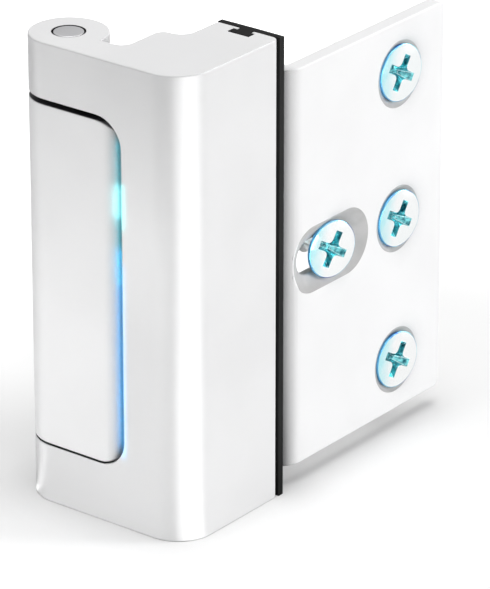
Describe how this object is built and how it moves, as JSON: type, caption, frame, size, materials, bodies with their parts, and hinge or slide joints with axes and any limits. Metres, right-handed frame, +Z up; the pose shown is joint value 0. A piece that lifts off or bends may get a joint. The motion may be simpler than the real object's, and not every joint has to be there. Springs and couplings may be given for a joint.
{
  "type": "flip door lock",
  "caption": "Swing-over door reinforcement lock: a white extruded lock body with a rubber pad swings on a sprung hinge pin carried by an offset bracket that screws to a door frame.",
  "frame": {"origin": "on the back of the mounting plate, at half the bracket's height, between the slot and the middle hole", "axes": "+Z up along the hinge pin, -X out of the back of the mounting plate into the door frame, -Y out of the front face of the lock body into the room"},
  "size_m": [0.0331, 0.066, 0.0762],
  "materials": {
    "white_aluminium": "satin white coating on extruded aluminium",
    "black_rubber": "matt black rubber",
    "pin_steel": "plain ground steel",
    "spring_steel": "drawn spring wire",
    "washer_nylon": "natural nylon",
    "blue_zinc": "bright blue-white zinc plating"
  },
  "bodies": {
    "bracket": {"mounting_bracket": "white_aluminium", "glide_washer": "washer_nylon", "return_spring": "spring_steel", "screw_top": "blue_zinc", "screw_middle": "blue_zinc", "screw_bottom": "blue_zinc", "screw_slot": "blue_zinc"},
    "pin": {"hinge_pin": "pin_steel", "spring_washer": "washer_nylon"},
    "lock": {"lock_body": "white_aluminium", "bumper_pad": "black_rubber"}
  },
  "joints": [
    {"name": "press_down", "type": "slide", "parent": "bracket", "child": "pin", "axis": [0, 0, 1], "range_m": [-0.0005, 0], "stiffness_N_per_m": 2000, "springref_m": 0.003, "deforming": ["return_spring"]},
    {"name": "flip", "type": "hinge", "parent": "pin", "child": "lock", "pos_m": [-0.02397, -0.04133, 0], "axis": [0, 0, 1], "range_deg": [-180, 0]}
  ]
}
